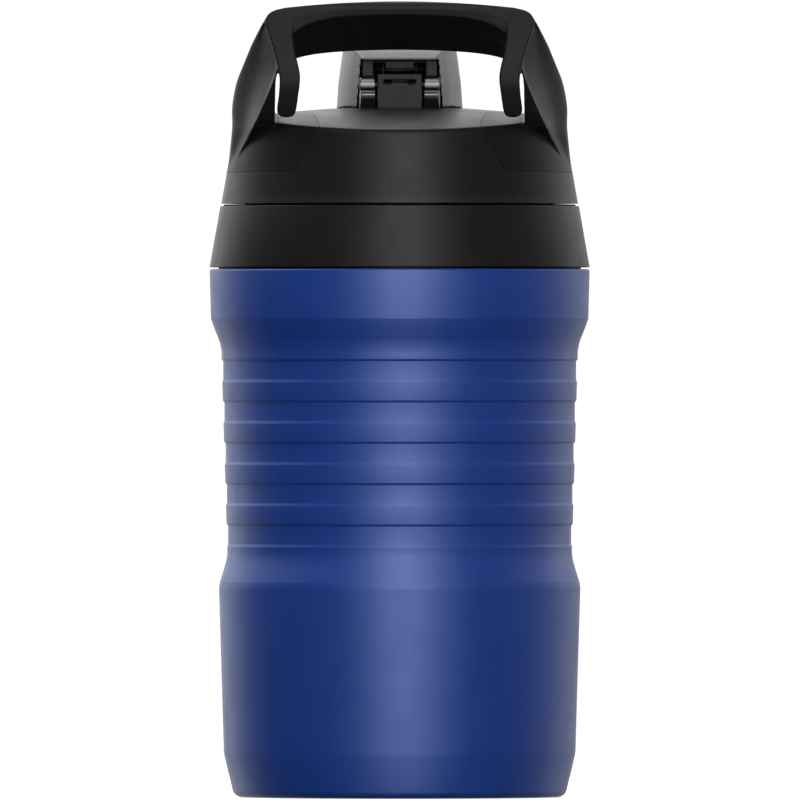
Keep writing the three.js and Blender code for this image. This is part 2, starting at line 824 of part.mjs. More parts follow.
function torsionSpring(side) {
  const start = [side * 3.2, PIN.y, PIN.z];
  const turns = coil(2.15, side * 0.9, 3.25, start, 'x');
  const end = turns.at(-1);
  const leg = [
    [end[0], end[1] - 0.5, end[2] + 1.2],
    [end[0] + side * 0.3, PIN.y - 0.7, PIN.z + 5.4],
    [end[0] + side * 0.5, PIN.y - 0.5, PIN.z + 8],
  ];
  return wire([...turns, ...leg], 0.36, 46);
}

// ---- assembly -----------------------------------------------------------------------------------
const BLACK = 0x1b1b1c;
const MATERIALS = {
  blue: { color: 0x21386f, roughness: 0.42, metalness: 0 },
  black: { color: BLACK, roughness: 0.45, metalness: 0 },
  blackGloss: { color: 0x101011, roughness: 0.3, metalness: 0 },
  liner: { color: 0x2b2c2e, roughness: 0.5, metalness: 0 },
  foam: { color: 0xe9dfbf, roughness: 0.95, metalness: 0 },
  silicone: { color: 0x8b9096, roughness: 0.7, metalness: 0 },
  steel: { color: 0xb9bcc0, roughness: 0.3, metalness: 1 },
};

const group = new THREE.Group();

function piece(name, body, look) {
  const mesh = new THREE.Mesh(geometryOf(body), new THREE.MeshStandardMaterial(MATERIALS[look]));
  mesh.name = name;
  group.add(mesh);
}

piece('outer_shell', outerShell(), 'blue');
piece('inner_liner', innerLiner(), 'liner');
piece('foam_insulation', foam(), 'foam');
piece('foam_plug', foamPlug(), 'black');
piece('collar', collar(), 'black');
piece('lid_gasket', lidGasket(), 'silicone');
piece('lid_shell', lidShell(), 'black');
piece('lid_insert', lidInsert(), 'black');
piece('spout', spout(), 'black');
piece('handle', handle(), 'black');
piece('latch_button', latchButton(), 'blackGloss');
piece('button_spring', buttonSpring(), 'steel');
piece('hinge_pin', rod('x', PIN_R, -PIN_HALF, PIN_HALF, PIN.toArray(), 16), 'steel');
piece('torsion_spring_left', torsionSpring(-1), 'steel');
piece('torsion_spring_right', torsionSpring(1), 'steel');
piece('cap_cover', capCover(), 'black');
piece('cap_frame', capFrame(), 'black');
piece('cap_seal', capSeal(), 'silicone');
SCREWS.forEach((place, i) => piece(`handle_screw_${i + 1}`, screw(place), 'steel'));

export default group;
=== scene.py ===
"""Looks for an insulated jug with a screw lid, a carry handle with fence hooks and a flip cap.

Shapes are worked out in millimetres in the shared frame and are stored in metres. +Z is up, the
hooks and the hinge are at the back, -Y, and the spout and the latch button at the front, +Y.
"""

import math

import bmesh
import bpy
import numpy as np
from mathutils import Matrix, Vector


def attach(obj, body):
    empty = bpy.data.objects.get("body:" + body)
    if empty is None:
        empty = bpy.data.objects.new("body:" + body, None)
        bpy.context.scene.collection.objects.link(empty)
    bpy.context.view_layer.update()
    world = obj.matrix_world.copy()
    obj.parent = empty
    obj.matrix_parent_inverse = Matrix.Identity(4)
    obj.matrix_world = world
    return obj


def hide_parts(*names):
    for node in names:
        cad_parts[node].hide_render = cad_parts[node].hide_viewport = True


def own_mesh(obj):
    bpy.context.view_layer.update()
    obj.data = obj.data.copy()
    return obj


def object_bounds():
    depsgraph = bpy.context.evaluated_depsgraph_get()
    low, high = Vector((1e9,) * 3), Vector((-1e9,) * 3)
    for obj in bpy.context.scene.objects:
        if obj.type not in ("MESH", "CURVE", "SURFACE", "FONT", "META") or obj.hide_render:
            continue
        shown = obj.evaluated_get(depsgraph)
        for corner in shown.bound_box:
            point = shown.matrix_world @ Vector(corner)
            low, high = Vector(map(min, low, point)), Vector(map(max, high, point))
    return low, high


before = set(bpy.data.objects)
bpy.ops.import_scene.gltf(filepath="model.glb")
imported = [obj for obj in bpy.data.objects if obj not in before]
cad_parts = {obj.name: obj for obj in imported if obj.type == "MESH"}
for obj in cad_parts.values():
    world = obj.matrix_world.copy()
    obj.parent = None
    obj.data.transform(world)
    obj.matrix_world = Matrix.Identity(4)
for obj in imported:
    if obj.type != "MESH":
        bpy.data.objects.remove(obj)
cad_low, cad_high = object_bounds()

MM = 0.001
scene = bpy.context.scene

# ---- driving dimensions, millimetres -------------------------------------------------------------
GAP = 0.35  # between neighbouring pieces
SEAM = 0.14  # the fine line round a saddle foot
WALL = 2.4  # moulded wall
SKIN = 0.36  # mesh size of the large softened mouldings, see soften
FINE_SKIN = 0.33
CROWN_SKIN = 0.2

SHELL_TOP_Z = 202.7
SHELL_TOP_R = 73.0
RIB_Z = 167.7  # the middle of the highest rib's step
RIB_R = 68.4
RIB_COUNT = 5
RIB_PITCH = 15.8
RIB_TAPER = 0.47  # how much narrower each rib is than the one above it
RIB_STEP = 0.62  # depth of the slanted step under each rib
RIB_EDGE = 0.38  # half its height
RIDGE_FOOT = 7.4  # the thin ridge between two steps: where it starts below the step,
RIDGE_CREST = 8.5  # where it ends
RIDGE_INSET = 0.24  # and how far inside the rib's radius
FOOT_EDGE_Z = 80.2
FOOT_EDGE_R = 69.4
FILL_HOLE_R = 5.2  # for the foam, under the base
FILL_HOLE_Y = 32

COLLAR_R = 72.98  # at COLLAR_R_Z
COLLAR_R_Z = 203.7
COLLAR_BOTTOM_Z = 203.4
COLLAR_RIM_Z = 226.95
COLLAR_TOP_Z = 227.5  # the land that the rim steps up to
RIM_WIDTH = 1.3
COLLAR_SLOPE = 0.176  # loss of radius per millimetre of height
SPIGOT_R = 69.6  # the collar's plug in the jacket

LID_BOTTOM_Z = 227.9
LID_BOTTOM_R = 68.53
LID_SLOPE = 0.176
DOME_TOP_Z = 265.2
DOME_X = 1.185e-3  # the dome falls by this times the square of the distance along X,
DOME_Y = 2.41e-3  # and by this along Y
DOME_EDGE = 1.7  # soft edge between dome and wall

NECK_R = 57.9
BORE_R = 54.6
NECK_TOP_Z = 243
THREAD_LEAD = 7
THREAD_DEPTH = 2
THREAD_TURNS = 1.25
THREAD_START_Z = 229.9
THREAD_BASE = 1.5  # half the ridge's height at its root
THREAD_CREST = 0.7  # and at its crest
SKIRT_R = 60.4
SKIRT_BOTTOM_Z = 228.6
SKIRT_WALL = 1.2
PLATE_Z = 245.7
PLATE_THICK = 2.2

HOOK_TIP_Z = 260.7
HOOK_BEND_Z = 275.4
HOOK_BEND = 5  # height of the quick bend
HOOK_LEAN = 0.4  # slope after it
HOOK_CURL = 0.01  # growth of that slope towards the tip
HOOK_THICK = 5.6
RIM_Y = -60  # the flat back of the handle
HANDLE_TOP_Z = 304.9
HANDLE_KEEP = 0.36  # share of the softened mesh that is kept
ARM_INNER_X = 47.9
ARM_HOLLOW = 0.9  # depth of the dished outer face
ARM_CREST_LIFT = 3  # how far forward the crest is moved in the upper half
ARM_FLANK = 3.6  # width of the flat strip along the rear edge
BAR_BOW = 0.00128  # the bar falls by this times the square of the distance from the middle
PAD_THICK = 1.6  # the saddle feet
PAD_FLOOR = 1.2  # the lid under them
PAD_RIM = 1.6  # the step round them in the lid's wall

PIN_Y = -11
PIN_Z = 273.4
PIN_R = 1.25
KNUCKLE_R = 3.3
KNUCKLE_INNER = 9.3
KNUCKLE_OUTER = 15.4
HINGE_ARM_INNER = 9.9
HINGE_ARM_OUTER = 14.55
HINGE_ARM_TOP_Z = 282.95
TOWER_HALF = 8.6
CAP_SKIN = 1.6
CAP_KEEP = 0.75  # share of the softened mesh that is kept
CAP_SWING_R = 8.5  # the cap's rear corners stay within this distance of the pin

SPOUT_Y = 20
SPOUT_TOP_Z = 278.6
SPOUT_BORE = 6

TONGUE_Y = 45.2
BUTTON_Z = 250.8
BUTTON_HALF = 10
BUTTON_HALF_HEIGHT = 2.6
SPRING_DROP = 0.75  # the spring's axis below the button's middle
SPRING_SEAT_Y = 55.02
SPRING_R = 1.6
SPRING_WIRE_R = 0.28
SPRING_LEAD = 1.7
SPRING_TURNS = 4

SCREWS = [(-52, -20), (-52, -5), (52, -20), (52, -5)]
SCREW_HOLE_R = 1.7  # through the lid
SCREW_PILOT_R = 1.65  # in the handle's feet

ROUND = 192  # facets of a large round piece
MEDIUM_ROUND = 96
SMALL_ROUND = 64
TINY_ROUND = 24
WALL_RINGS = 9  # rings up the lid's wall


# ---- curves --------------------------------------------------------------------------------------
def spline(points, per=8):
    """A centripetal Catmull-Rom curve through the points."""
    p = np.asarray(points, float)
    p = np.vstack([2 * p[0] - p[1], p, 2 * p[-1] - p[-2]])
    t = np.concatenate([[0], np.cumsum(np.sqrt(np.linalg.norm(np.diff(p, axis=0), axis=1)))])
    made = []
    for i in range(1, len(p) - 2):
        for u in np.linspace(t[i], t[i + 1], per, endpoint=False):
            near = list(p[i - 1 : i + 3])
            for depth in (1, 2, 3):
                near = [
                    blend_points(near[k], near[k + 1], *span(t, i, k, depth), u)
                    for k in range(4 - depth)
                ]
            made.append(near[0])
    made.append(p[-2])
    return np.array(made)


def span(t, i, k, depth):
    """The knots between which two neighbouring points of that depth are blended."""
    if depth == 3:
        return t[i], t[i + 1]
    return t[i - 1 + k], t[i - 1 + k + depth]


def blend_points(a, b, start, end, u):
    return a * ((end - u) / (end - start)) + b * ((u - start) / (end - start))


def through(pairs):
    """A smooth function of one number through [input, output] pairs."""
    dense = spline(pairs)
    return lambda value: float(np.interp(value, dense[:, 0], dense[:, 1]))


def arc(x, y, r, start, end, count=8):
    """Points of an arc about (x, y), from one angle to the other in degrees."""
    angles = np.radians(np.linspace(start, end, count + 1))
    return [(x + r * math.cos(a), y + r * math.sin(a)) for a in angles]


def bend(start, corner, end, count):
    """A small curve from start to end that leans towards the corner."""
    start, corner, end = np.array(start), np.array(corner), np.array(end)
    u = np.linspace(0, 1, count + 1)[:, None]
    return (1 - u) ** 2 * start + 2 * u * (1 - u) * corner + u**2 * end


def rising(value, none, full):
    """How far the value has come from none, which gives 0, to full, which gives 1."""
    return np.clip((value - none) / (full - none), 0, 1)


def rounded(outline, radius, count=4):
    """The closed outline with each corner turned into a small curve."""
    p = [np.array(point, float) for point in outline]
    made = []
    for i, here in enumerate(p):
        to_last, to_next = p[i - 1] - here, p[(i + 1) % len(p)] - here
        a, b = np.linalg.norm(to_last), np.linalg.norm(to_next)
        half = math.acos(np.clip(to_last @ to_next / (a * b), -1, 1)) / 2
        reach = min(radius / math.tan(max(half, 0.02)), 0.45 * a, 0.45 * b)
        if reach < 0.02:
            made.append(here)
            continue
        made.extend(bend(here + to_last / a * reach, here, here + to_next / b * reach, count))
    return np.array(made)


def mirrored(right):
    """The right half of an outline and then its mirror image, in one round."""
    return [*right, *[(-x, other) for x, other in reversed(right)]]


# ---- solids --------------------------------------------------------------------------------------
def solid(points, faces):
    """A closed body, its faces turned outward."""
    mesh = bpy.data.meshes.new("solid")
    mesh.from_pydata((np.asarray(points, float) * MM).tolist(), [], faces)
    bm = bmesh.new()
    bm.from_mesh(mesh)
    bmesh.ops.remove_doubles(bm, verts=bm.verts, dist=1e-8)
    bmesh.ops.dissolve_degenerate(bm, dist=1e-9, edges=bm.edges)
    if bm.calc_volume(signed=True) < 0:
        bmesh.ops.reverse_faces(bm, faces=bm.faces)
    bm.to_mesh(mesh)
    bm.free()
    body = bpy.data.objects.new("solid", mesh)
    scene.collection.objects.link(body)
    return body


def loft(rings, loop=False):
    """A body through rings that all have the same number of points."""
    rings = np.asarray(rings, float)
    count, size = rings.shape[:2]
    faces = []
    for k in range(count if loop else count - 1):
        a, b = k * size, (k + 1) % count * size
        faces += [(a + i, a + (i + 1) % size, b + (i + 1) % size, b + i) for i in range(size)]
    if not loop:
        faces += [tuple(reversed(range(size))), tuple(range((count - 1) * size, count * size))]
    return solid(rings.reshape(-1, 3), faces)


def turned(outline, facets=ROUND):
    """A closed [radius, z] outline, or a function of the angle that gives one, turned about +Z."""
    outline_at = outline if callable(outline) else lambda _: outline
    rings = []
    for a in np.linspace(0, 2 * math.pi, facets, endpoint=False):
        p = np.asarray(outline_at(a), float)
        rings.append(np.column_stack([p[:, 0] * math.cos(a), p[:, 0] * math.sin(a), p[:, 1]]))
    return loft(rings, loop=True)


def along(axis, outline, start, end):
    """An outline with depth along an axis: [y, z] along x, [x, z] along y, [x, y] along z."""
    p = np.asarray(outline, float)
    rings = []
    for depth in (start, end):
        column = np.full(len(p), float(depth))
        rings.append(np.insert(p, "xyz".index(axis), column, axis=1))
    return loft(rings)


def box(x0, x1, y0, y1, z0, z1):
    return along("z", [(x0, y0), (x1, y0), (x1, y1), (x0, y1)], z0, z1)


def rod(axis, radius, start, end, place=(0, 0), facets=SMALL_ROUND):
    """A cylinder along an axis; place is where it stands in the other two directions."""
    return along(axis, arc(*place, radius, 0, 360, facets)[:-1], start, end)


def settle(body):
    """Applies the body's modifiers to its mesh."""
    graph = bpy.context.evaluated_depsgraph_get()
    mesh = bpy.data.meshes.new_from_object(body.evaluated_get(graph))
    body.modifiers.clear()
    body.data = mesh
    return body


def mixed(operation, body, *tools):
    """The body after a boolean operation with each tool; the tools are used up."""
    for tool in tools:
        step = body.modifiers.new("mix", "BOOLEAN")
        step.operation = operation
        step.solver = "MANIFOLD"
        step.object = tool
        settle(body)
        bpy.data.objects.remove(tool)
    return body


def joined(body, *tools):
    return mixed("UNION", body, *tools)


def cut(body, *tools):
    return mixed("DIFFERENCE", body, *tools)


def common(body, *tools):
    return mixed("INTERSECT", body, *tools)


def copied(body, mirror=False):
    twin = bpy.data.objects.new("solid", body.data.copy())
    scene.collection.objects.link(twin)
    if mirror:
        bm = bmesh.new()
        bm.from_mesh(twin.data)
        bmesh.ops.scale(bm, vec=(-1, 1, 1), verts=bm.verts)
        bmesh.ops.reverse_faces(bm, faces=bm.faces)
        bm.to_mesh(twin.data)
        bm.free()
    return twin


def both_sides(body):
    return joined(body, copied(body, mirror=True))


def soften(body, size, rounds, keep=1.0):
    """Rounds every edge as a mould does: an even skin of small faces, relaxed a few times.

    keep is the share of those faces that is left in the end.
    """
    skin = body.modifiers.new("skin", "REMESH")
    skin.mode = "VOXEL"
    skin.voxel_size = size * MM
    relax = body.modifiers.new("relax", "SMOOTH")
    relax.factor = 0.5
    relax.iterations = rounds
    if keep < 1:
        thin = body.modifiers.new("thin", "DECIMATE")
        thin.ratio = keep
    return settle(body)


# ---- surfaces ------------------------------------------------------------------------------------
CLOUD_SIZE = 22  # of the faint changes of tone, millimetres
SHEEN_SIZE = 9  # of the faint changes of gloss
SHEEN_SWING = 0.035
PLAIN = (1, 1, 1, 1)


def material(
    name,
    colour,
    roughness,
    grain=0.3,
    bump=0.1,
    edge_wear_and_highlight=0.0,
    metallic=0.0,
    patches=0.05,
    gloss=0.5,
    ior=1.5,
    tint=PLAIN,
):
    """Moulded or drawn stock: fine grain, faint cloudy tone, uneven gloss and paler edges, partly
    handling wear and partly a painted highlight.

    grain is the size of the surface texture in millimetres.
    """
    made = bpy.data.materials.new(name)
    made.use_nodes = True
    nodes, links = made.node_tree.nodes, made.node_tree.links
    shader = nodes["Principled BSDF"]
    shader.inputs["Metallic"].default_value = metallic
    shader.inputs["Specular IOR Level"].default_value = gloss
    shader.inputs["Specular Tint"].default_value = tint
    shader.inputs["IOR"].default_value = ior
    place = nodes.new("ShaderNodeTexCoord").outputs["Object"]

    def noise(size, detail):
        texture = nodes.new("ShaderNodeTexNoise")
        texture.inputs["Scale"].default_value = 1 / (size * MM)
        texture.inputs["Detail"].default_value = detail
        links.new(place, texture.inputs["Vector"])
        return texture.outputs["Fac"]

    def mapped(source, low, high, into_low, into_high):
        step = nodes.new("ShaderNodeMapRange")
        values = (low, high, into_low, into_high)
        for socket, value in zip(("From Min", "From Max", "To Min", "To Max"), values):
            step.inputs[socket].default_value = value
        links.new(source, step.inputs["Value"])
        return step.outputs["Result"]

    def mix(factor, a, b):
        step = nodes.new("ShaderNodeMix")
        step.data_type = "RGBA"
        links.new(factor, step.inputs["Factor"])
        for socket, value in ((step.inputs["A"], a), (step.inputs["B"], b)):
            if isinstance(value, tuple):
                socket.default_value = value
            else:
                links.new(value, socket)
        return step.outputs["Result"]

    def toned(scale):
        return tuple(c * scale for c in colour) + (1,)

    tone = mix(noise(CLOUD_SIZE, 3), toned(1 - patches), toned(1 + patches))
    # paler convex edges: partly handling wear, partly a painted highlight where the fillets catch
    # light
    if edge_wear_and_highlight > 0:
        convex = nodes.new("ShaderNodeNewGeometry").outputs["Pointiness"]
        pale = tuple(min(1, c * 1.9 + 0.02) for c in colour) + (1,)
        tone = mix(mapped(convex, 0.52, 0.60, 0, edge_wear_and_highlight), tone, pale)
    links.new(tone, shader.inputs["Base Color"])
    sheen = mapped(noise(SHEEN_SIZE, 4), 0.3, 0.7, roughness - SHEEN_SWING, roughness + SHEEN_SWING)
    links.new(sheen, shader.inputs["Roughness"])
    relief = nodes.new("ShaderNodeBump")
    relief.inputs["Strength"].default_value = bump
    relief.inputs["Distance"].default_value = 0.1 * MM
    links.new(noise(grain, 2), relief.inputs["Height"])
    links.new(relief.outputs["Normal"], shader.inputs["Normal"])
    return made


JACKET = material(
    "jacket_satin",
    (0.0115, 0.051, 0.3),
    0.38,
    grain=0.35,
    edge_wear_and_highlight=0.25,
    gloss=0.77,
    ior=1.8,
    tint=(0.43, 0.54, 0.85, 1),
)
BLACK = material("black_satin", (0.012, 0.012, 0.0122), 0.38, edge_wear_and_highlight=0.3, gloss=0.24)
CAP = material("cap_satin", (0.012, 0.012, 0.0122), 0.34, edge_wear_and_highlight=0.4, gloss=0.5, ior=2.2)
HANDLE = material("handle_satin", (0.0115, 0.0115, 0.0117), 0.38, edge_wear_and_highlight=0.3, gloss=0.15)
BLACK_GLOSS = material("black_gloss", (0.008, 0.008, 0.0083), 0.24, grain=0.5, bump=0.04, edge_wear_and_highlight=0.2)
# near-black matt surface that paints the shade in the collar's recess under the lid's edge
GAP_SHADE = material("painted_gap_shade", (0.003, 0.003, 0.003), 0.85, grain=0.4, gloss=0.02)
LINER = material("liner_plastic", (0.024, 0.025, 0.027), 0.42, grain=0.6, bump=0.06)
FOAM = material("foam", (0.80, 0.69, 0.43), 0.92, grain=0.9, bump=0.8, patches=0.12)
SILICONE = material("silicone", (0.24, 0.25, 0.27), 0.62, grain=0.25, bump=0.1)
DARK_STEEL = material(
    "blackened_steel", (0.03, 0.03, 0.032), 0.35, grain=0.15, bump=0.08, metallic=1.0
)
STEEL = material("spring_steel", (0.56, 0.57, 0.59), 0.27, grain=0.15, bump=0.08, metallic=1.0)
POLISHED = material(
    "black_polished", (0.006, 0.006, 0.0063), 0.2, bump=0.03, edge_wear_and_highlight=0.2, gloss=1.0, ior=1.7
)

SHARP = math.radians(38)  # faces that meet at more than this don't shade into each other


def finished(name, body, node, rides_on, surface):
    """Names a piece, gives it its surface and ties it to the frame."""
    body.name = name
    body.data.name = name
    body.data.materials.clear()
    body.data.materials.append(surface)
    for face in body.data.polygons:
        face.use_smooth = True
        face.material_index = 0
    body.data.set_sharp_from_angle(angle=SHARP)
    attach(body, rides_on)
    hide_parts(node)
    return body


def painted(body, surface, inside):
    """Gives another surface to the faces whose middle, in millimetres, lies inside the region."""
    body.data.materials.append(surface)
    for face in body.data.polygons:
        if inside(*(face.center / MM)):
            face.material_index = 1


# ---- jug -----------------------------------------------------------------------------------------
def shell_outline():
    """The jacket's outside from the base up: the foot, the grip with its ribs, and the top."""
    ribs = []
    for i in range(RIB_COUNT):
        step = RIB_Z - i * RIB_PITCH
        r = RIB_R - RIB_TAPER * i
        ribs += [(r, step + RIB_EDGE), (r - RIB_STEP, step - RIB_EDGE)]
        ribs += [(r - RIB_STEP, step - RIDGE_FOOT), (r - RIDGE_INSET, step - RIDGE_CREST)]
    waist = spline([(RIB_R, 169.3), (68.5, 171.5), (69.2, 174.8), (70.2, 177.4), (71.2, 180)])
    return [
        *arc(60.8, 3.5, 3.5, -90, -12),
        (67.3, 15.9),
        (67.55, 17.6),
        (FOOT_EDGE_R, FOOT_EDGE_Z),
        (69.1, 82.5),
        *spline([(67.5, 87.6), (66.7, 90.6), (66.25, 93.2), (66.2, 95.2)]),
        *reversed(ribs),
        *waist,
        (72.5, 183.6),
        (SHELL_TOP_R, 202.1),
        (SHELL_TOP_R - 0.5, SHELL_TOP_Z),
    ]


def outer_shell():
    """The jacket: its outside, its inside and its base, which has the foam's fill hole."""
    inner = [(70, SHELL_TOP_Z), (70, 186), (66.5, 176), (65.6, 168), (63.8, 95), (66.2, 82)]
    base = [(0, 5.2), (0, 1.6), (50, 1.6), (51.2, 0)]
    outline = [*shell_outline(), *inner, (64.5, 16), (60, 5.2), *base]
    return cut(turned(rounded(outline, 0.28, 2)), rod("z", FILL_HOLE_R, -1, 6, (0, FILL_HOLE_Y)))


def collar():
    """The shoulder ring, with a spigot into the jacket and a recess under the lid's edge."""

    def r(z):
        return COLLAR_R - COLLAR_SLOPE * (z - COLLAR_R_Z)

    hole = NECK_R + THREAD_DEPTH + 0.4
    outline = [
        (SPIGOT_R - 2, 194),
        (SPIGOT_R, 194),
        (SPIGOT_R, COLLAR_BOTTOM_Z),
        (r(COLLAR_BOTTOM_Z), COLLAR_BOTTOM_Z),
        (r(COLLAR_RIM_Z), COLLAR_RIM_Z),
        (r(COLLAR_RIM_Z) - RIM_WIDTH, COLLAR_RIM_Z),
        (r(COLLAR_RIM_Z) - RIM_WIDTH, COLLAR_TOP_Z),
        (hole, COLLAR_TOP_Z),
        (hole, 225),
        (67, 225),
        (67, 222),
        (SPIGOT_R - 2, 203),
    ]
    return turned(rounded(outline, 0.3))


def painted_shade_under_lid(x, y, z):
    """The collar's recess and land under the lid's edge, painted near-black as shade."""
    return z > COLLAR_RIM_Z - 0.01 and math.hypot(x, y) < LID_BOTTOM_R - RIM_WIDTH + 0.6


def ridge(root, crest, z0):
    """A helical ridge, from its root radius to its crest radius, that fades out at both ends."""
    rings = []
    whole = THREAD_TURNS * 2 * math.pi
    for a in np.linspace(0, whole, int(THREAD_TURNS * ROUND)):
        z = z0 + THREAD_LEAD * a / (2 * math.pi)
        top = root + (crest - root) * min(1, 6 * min(a, whole - a) + 0.15)
        base = [(root, -THREAD_BASE), (top, -THREAD_CREST)]
        section = rounded([*base, (top, THREAD_CREST), (root, THREAD_BASE)], 0.3, 2)
        rings.append([(r * math.cos(a), r * math.sin(a), z + dz) for r, dz in section])
    return loft(rings)


def inner_liner():
    """The vessel: a straight bore, a shoulder under the collar and a threaded neck."""
    outline = [
        (0, 17),
        (48, 17),
        *arc(49, 24, 7, -80, -10),
        (57.2, 60),
        (57.2, 196),
        (66.2, 222.4),
        (66.2, 224.6),
        (NECK_R, 224.6),
        (NECK_R, NECK_TOP_Z),
        (BORE_R, NECK_TOP_Z),
        (BORE_R, 60),
        *arc(46.6, 26.6, 7, -10, -80),
        (0, 19.6),
    ]
    thread = ridge(NECK_R - 0.8, NECK_R + THREAD_DEPTH, THREAD_START_Z)
    return joined(turned(rounded(outline, 0.5)), thread)


# ---- lid -----------------------------------------------------------------------------------------
def cone_r(z):
    return LID_BOTTOM_R - LID_SLOPE * (z - LID_BOTTOM_Z)


def lid_body(inset, bottom=LID_BOTTOM_Z, edge=DOME_EDGE):
    """The lid's envelope, moved inward: up the cone, over a soft edge and up the dome."""
    top = DOME_TOP_Z - inset

    def outline(angle):
        # the corner is where the cone meets the dome, which falls by drop times the radius squared
        drop = DOME_X * math.cos(angle) ** 2 + DOME_Y * math.sin(angle) ** 2
        foot = cone_r(top) - inset
        k = LID_SLOPE * drop
        corner_r = (1 - math.sqrt(1 - 4 * k * foot)) / (2 * k)
        corner_z = top - drop * corner_r**2
        start = (corner_r + LID_SLOPE * edge, corner_z - edge)
        end = (corner_r - edge, top - drop * (corner_r - edge) ** 2)
        shoulder = bend(start, (corner_r, corner_z), end, 6)
        dome = [(r, top - drop * r * r) for r in np.linspace(end[0], 0, 22)[1:]]
        wall = [(cone_r(z) - inset, z) for z in np.linspace(bottom, start[1], WALL_RINGS)[:-1]]
        return [(0, bottom), *wall, *shoulder, *dome]

    return turned(outline)


def foot_region(grow=0.0):
    """The space over the lid that the handle's saddle feet take up, grown by some width.

    It is one side's outline from the back, from the side and from above, mirrored.
    """
    g = grow
    back = [
        (-29.6 + g, 275),
        (-30.2 + g, 257.5),
        (-38.3 + g, 243.9 - g),
        (-40.9 + g, 239.9 - g),
        (-80, 239.9 - g),
        (-80, 275),
    ]
    front = [(36 + g, 275), (32 + g, 257), (22.4 + g, 239.9 - g), (-1, 239.9 - g), (-1, 275)]
    plan = [
        (-80, -80),
        (-28 + g, -80),
        *spline(
            [
                (-30.6 + g, -55.4),
                (-31.9 + g, -38),
                (-33.3 + g, -26),
                (-36 + g, -16.5 + g),
                (-41 + g, -9.6 + g),
                (-46 + g, -7 + g),
            ]
        ),
        (-46 + g, 18),
        (-50 + g, 28),
        (-56 + g, 40),
        (-80, 50),
    ]
    left = joined(along("y", rounded(back, 3), -80, 0), along("x", rounded(front, 3), -80, 0))
    return both_sides(common(left, along("z", plan, 230, 280)))


def tower():
    """The hinge block between the cap's knuckles, hollow where the springs are."""
    block = [
        (PIN_Y - 3.9, 262),
        (PIN_Y - 4.2, PIN_Z + 4.2),
        (PIN_Y + 4.2, PIN_Z + 4.2),
        (PIN_Y + 5.4, 262),
    ]
    body = along("x", rounded(block, 0.7), -TOWER_HALF, TOWER_HALF)
    hollow = box(-7.3, 7.3, PIN_Y - 3, PIN_Y + 3, PIN_Z - 3.3, PIN_Z + 5)
    slot = box(-6.1, 6.1, PIN_Y - 6, PIN_Y, PIN_Z + 0.1, PIN_Z + 1.9)
    bore = rod("x", PIN_R + GAP, -20, 20, (PIN_Y, PIN_Z))
    return cut(body, hollow, slot, bore)


def ears():
    """The two rests on the dome under the cap's knuckles."""
    profile = [
        (PIN_Y + 1.6, 262.5),
        (PIN_Y + 1.6, 269.2),
        (PIN_Y - 1.6, 269.6),
        (PIN_Y - 4.2, 271.3),
        (PIN_Y - 5.9, 271.2),
        (PIN_Y - 6.6, 269.6),
        (PIN_Y - 6.2, 268.2),
        (PIN_Y - 3.2, 263),
    ]
    plan = [(9.3, 0), (9.3, -20), (14.4, -20), (15.6, -13.2), (15.6, 0)]
    right = common(along("x", rounded(profile, 0.5), 9, 16), along("z", plan, 260, 275))
    return both_sides(right)


def button_window(grow):
    """The space of the latch button in the lid's wall."""
    width, height = BUTTON_HALF + grow, BUTTON_HALF_HEIGHT + grow
    corners = [(-width, -height), (width, -height), (width, height), (-width, height)]
    return along("y", rounded(np.add(corners, (0, BUTTON_Z)), 1.2 + grow), 45, 75)


def lid_shell():
    """The lid's wall, let in under the handle's feet, with the hinge block and its openings."""
    below = LID_BOTTOM_Z - 1
    shell = cut(lid_body(0), lid_body(WALL, below))
    hollow_depth = PAD_THICK + GAP + PAD_FLOOR
    surround = foot_region(GAP + PAD_RIM)
    floor = common(cut(lid_body(PAD_THICK + GAP), lid_body(hollow_depth, below)), copied(surround))
    rim = cut(lid_body(1), lid_body(hollow_depth, below))
    rim = common(rim, cut(surround, foot_region(SEAM)))
    shell = joined(cut(shell, foot_region(SEAM)), floor, rim)
    crown = soften(joined(tower(), ears()), CROWN_SKIN, 3)
    shell = joined(shell, cut(crown, lid_body(WALL, below)))
    spout_hole = rod("z", 10.4, 250, 275, (0, SPOUT_Y))
    latch_slot = box(-5, 5, TONGUE_Y - 3.3, TONGUE_Y + 4.2, 250, 270)
    shell = cut(shell, spout_hole, latch_slot, button_window(GAP))
    return cut(shell, *[rod("z", SCREW_HOLE_R, 245, 275, place, TINY_ROUND) for place in SCREWS])


def lid_insert():
    """The plate over the neck, with its threaded skirt and the stop of the button's spring."""
    outer = SKIRT_R + SKIRT_WALL
    top = PLATE_Z + PLATE_THICK
    outline = [
        (0, PLATE_Z),
        (SKIRT_R, PLATE_Z),
        (SKIRT_R, SKIRT_BOTTOM_Z),
        (outer, SKIRT_BOTTOM_Z),
        (outer - 0.9, top - 1),
        (outer - 1.6, top),
        (0, top),
    ]
    thread = ridge(SKIRT_R + 0.6, SKIRT_R - THREAD_DEPTH, THREAD_START_Z + THREAD_LEAD / 2)
    thread = common(thread, box(-80, 80, -80, 80, SKIRT_BOTTOM_Z, PLATE_Z + 1))
    stop = box(-3, 3, 53.4, 54.7, top - 1, BUTTON_Z + 0.8)
    body = joined(turned(rounded(outline, 0.3)), thread, stop)
    return cut(body, rod("z", 9.4, 240, 255, (0, SPOUT_Y)))


def lid_gasket():
    low, high = NECK_TOP_Z + GAP, PLATE_Z - GAP
    inner, outer = BORE_R + 0.2, SKIRT_R - 0.6
    return turned(rounded([(inner, low), (outer, low), (outer, high), (inner, high)], 0.5))


def moved(body, y):
    """The body moved along +Y by some millimetres."""
    for vertex in body.data.vertices:
        vertex.co.y += y * MM
    return body


